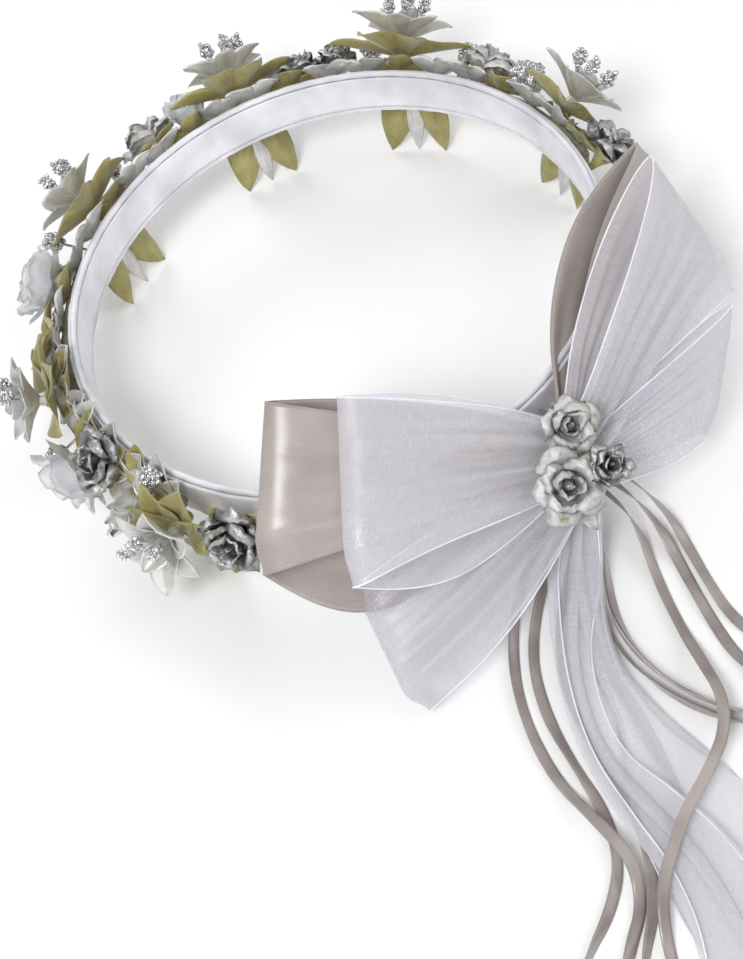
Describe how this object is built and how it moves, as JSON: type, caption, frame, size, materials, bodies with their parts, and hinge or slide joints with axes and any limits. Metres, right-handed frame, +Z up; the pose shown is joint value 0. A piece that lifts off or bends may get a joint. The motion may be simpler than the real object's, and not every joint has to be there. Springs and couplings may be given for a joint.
{
  "type": "flower crown",
  "caption": "Satin-covered hoop with a garland of foil and fabric flowers, a layered satin and organza bow, and long ribbon tails.",
  "frame": {"origin": "centre of the head opening, at half the band's height", "axes": "+Z up through the opening, away from the head; -Y towards the bow"},
  "size_m": [0.2439, 0.3746, 0.0829],
  "materials": {
    "white_satin": "satin",
    "buckram": "matte",
    "steel_wire": "satin",
    "floral_tape": "matte",
    "hot_glue": "gloss",
    "olive_leaf": "satin",
    "silver_petal": "pearl",
    "silver_glitter": "glitter",
    "antique_foil": "crumpled foil",
    "organza": "sheer",
    "taupe_satin": "satin",
    "narrow_satin": "satin",
    "binding_satin": "satin"
  },
  "bodies": {
    "crown": {"band_core": "buckram", "crumpled_foil": "silver_glitter", "edge_piping": "white_satin", "foil_rose_1": "antique_foil", "foil_rose_2": "antique_foil", "foil_rose_3": "antique_foil", "foil_rose_4": "antique_foil", "foil_rose_5": "antique_foil", "foil_rose_6": "antique_foil", "foil_rose_7": "antique_foil", "garland_stem": "floral_tape", "glitter_picks": "silver_glitter", "glitter_stamens": "silver_glitter", "glue_dots": "hot_glue", "hoop_wires": "steel_wire", "inner_band": "white_satin", "leaf_spray": "olive_leaf", "lily_1_leaves": "olive_leaf", "lily_1_petals": "silver_petal", "lily_2_leaves": "olive_leaf", "lily_2_petals": "silver_petal", "lily_3_leaves": "olive_leaf", "lily_3_petals": "silver_petal", "lily_4_leaves": "olive_leaf", "lily_4_petals": "silver_petal", "lily_5_leaves": "olive_leaf", "lily_5_petals": "silver_petal", "lily_6_leaves": "olive_leaf", "lily_6_petals": "silver_petal", "organza_rose_1": "organza", "organza_rose_2": "organza", "organza_rose_3": "organza", "organza_rose_4": "organza", "outer_wrap": "white_satin", "pale_bud": "silver_petal", "tie_wires": "steel_wire"},
    "bow": {"bow_knot": "binding_satin", "knot_petal": "antique_foil", "knot_rose_main": "antique_foil", "knot_rose_side": "antique_foil", "knot_rose_top": "antique_foil", "organza_loop_left_lower": "organza", "organza_loop_left_upper": "organza", "organza_loop_right_lower": "organza", "organza_loop_right_upper": "organza", "satin_loop_left": "taupe_satin", "satin_loop_right": "taupe_satin"},
    "tails": {"organza_tail_left": "organza", "organza_tail_right": "organza", "streamer_left_1": "narrow_satin", "streamer_left_2": "narrow_satin", "streamer_left_3": "narrow_satin", "streamer_mid_1": "narrow_satin", "streamer_mid_2": "narrow_satin", "streamer_mid_3": "narrow_satin", "streamer_right_1": "narrow_satin", "streamer_right_2": "narrow_satin", "streamer_right_3": "narrow_satin", "tail_binding": "binding_satin"}
  },
  "joints": [
    {"name": "bow_tilt", "type": "hinge", "parent": "crown", "child": "bow", "pos_m": [-0.002, -0.0945, 0], "axis": [1, 0, 0], "range_deg": [0, 5]},
    {"name": "tails_swing", "type": "hinge", "parent": "crown", "child": "tails", "pos_m": [-0.002, -0.094, -0.01], "axis": [1, 0, 0], "range_deg": [0, 50]}
  ]
}
